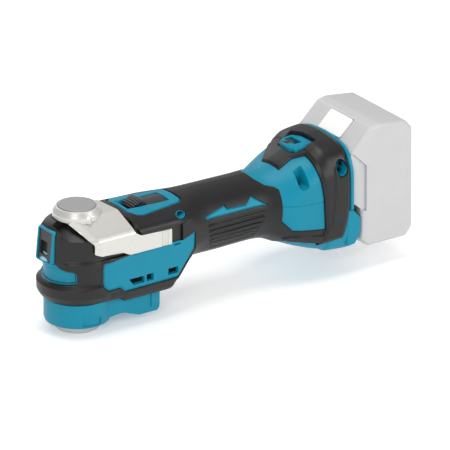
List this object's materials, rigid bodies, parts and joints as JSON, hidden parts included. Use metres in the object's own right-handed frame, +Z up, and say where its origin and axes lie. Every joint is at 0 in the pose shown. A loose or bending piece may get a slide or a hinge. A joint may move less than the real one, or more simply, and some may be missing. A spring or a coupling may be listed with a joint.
{
  "type": "oscillating multi tool",
  "caption": "Cordless oscillating multi tool with a swing-out clamp lever on its head, a rubber-covered grip, a slide switch and a slide-on battery pack.",
  "frame": {"origin": "on the oscillating spindle's axis, at the lower face of the accessory holder", "axes": "+Z up along the spindle, away from the accessory; +X along the grip from the head to the battery pack; -Y is the flank with the clamp lever"},
  "size_m": [0.3267, 0.0806, 0.1204],
  "materials": {
    "black_rubber": "fine matt texture",
    "cast_silver": "satin lacquered casting",
    "clear_lens": "clear",
    "copper": "enamelled wire",
    "dark_plastic": "satin moulded",
    "dark_steel": "blackened",
    "green_board": "lacquered board",
    "pack_grey": "matt pale grey",
    "pale_plastic": "satin near white",
    "steel": "machined",
    "teal_plastic": "satin moulded, teal"
  },
  "bodies": {
    "tool_body": {"controller_board": "green_board", "dial_bezel": "teal_plastic", "dial_potentiometer": "dark_plastic", "dock_rails": "dark_plastic", "front_motor_bearing": "steel", "gear_case": "cast_silver", "head_bumper": "black_rubber", "housing_left": "teal_plastic", "housing_right": "teal_plastic", "housing_screws": "dark_steel", "led_bezel": "teal_plastic", "led_lens": "clear_lens", "led_panel": "dark_plastic", "lower_bearing": "steel", "lower_cover": "teal_plastic", "motor_end_plate": "cast_silver", "motor_frame": "cast_silver", "rear_motor_bearing": "steel", "rubber_skin_left": "black_rubber", "rubber_skin_right": "black_rubber", "spindle_seal": "black_rubber", "stator_core": "dark_steel", "stator_windings": "copper", "switch_bezel": "teal_plastic", "switch_unit": "dark_plastic", "tail_bumper": "black_rubber", "tail_pad": "black_rubber", "terminal_block": "dark_plastic", "upper_bearing": "steel", "vibration_dampers": "black_rubber"},
    "spindle": {"spindle": "steel", "tool_holder": "steel", "swing_fork": "dark_steel", "clamp_spring": "dark_steel"},
    "clamp_rod": {"clamp_rod": "steel", "clamp_jaws": "steel"},
    "lever": {"clamp_lever": "cast_silver", "lever_cap": "cast_silver", "lever_screw": "dark_steel"},
    "rotor": {"motor_shaft": "steel", "rotor_core": "dark_steel", "cooling_fan": "dark_plastic", "eccentric": "steel", "eccentric_bearing": "steel"},
    "slider": {"switch_slider": "dark_plastic", "switch_link": "dark_plastic"},
    "dial": {"dial_wheel": "dark_plastic"},
    "battery": {"pack_case": "pack_grey", "pack_cover": "pack_grey", "battery_cells": "steel", "pack_board": "green_board", "gauge_window": "dark_plastic", "button_spring": "steel"},
    "latch_button": {"battery_button": "pale_plastic"},
    "gauge_button": {"gauge_button": "pale_plastic"}
  },
  "joints": [
    {"name": "motor_spin", "type": "hinge", "parent": "tool_body", "child": "rotor", "pos_m": [0, 0, 0.064], "axis": [1, 0, 0], "continuous": true},
    {"name": "spindle_swing", "type": "hinge", "parent": "tool_body", "child": "spindle", "pos_m": [0, 0, 0], "axis": [0, 0, 1], "range_deg": [-1.8, 1.8]},
    {"name": "lever_swing", "type": "hinge", "parent": "tool_body", "child": "lever", "pos_m": [0, 0, 0], "axis": [0, 0, 1], "range_deg": [-24, 0]},
    {"name": "clamp_slide", "type": "slide", "parent": "spindle", "child": "clamp_rod", "axis": [0, 0, -1], "range_m": [0, 0.003], "deforming": ["clamp_spring"]},
    {"name": "switch_slide", "type": "slide", "parent": "tool_body", "child": "slider", "axis": [-1, 0, 0], "range_m": [0, 0.0045]},
    {"name": "dial_turn", "type": "hinge", "parent": "tool_body", "child": "dial", "pos_m": [0.2, 0, 0.0936], "axis": [1, 0, 0], "range_deg": [0, 290]},
    {"name": "battery_slide", "type": "slide", "parent": "tool_body", "child": "battery", "axis": [0, 0, 1], "range_m": [0, 0.06]},
    {"name": "latch_press", "type": "slide", "parent": "battery", "child": "latch_button", "axis": [0.685, 0, -0.7285], "range_m": [0, 0.0022], "stiffness_N_per_m": 900},
    {"name": "gauge_press", "type": "slide", "parent": "battery", "child": "gauge_button", "axis": [-1, 0, 0], "range_m": [0, 0.0008], "stiffness_N_per_m": 400}
  ],
  "couplings": [
    {"joint": "clamp_slide", "follows": "lever_swing", "m_per_rad": -0.007162}
  ]
}
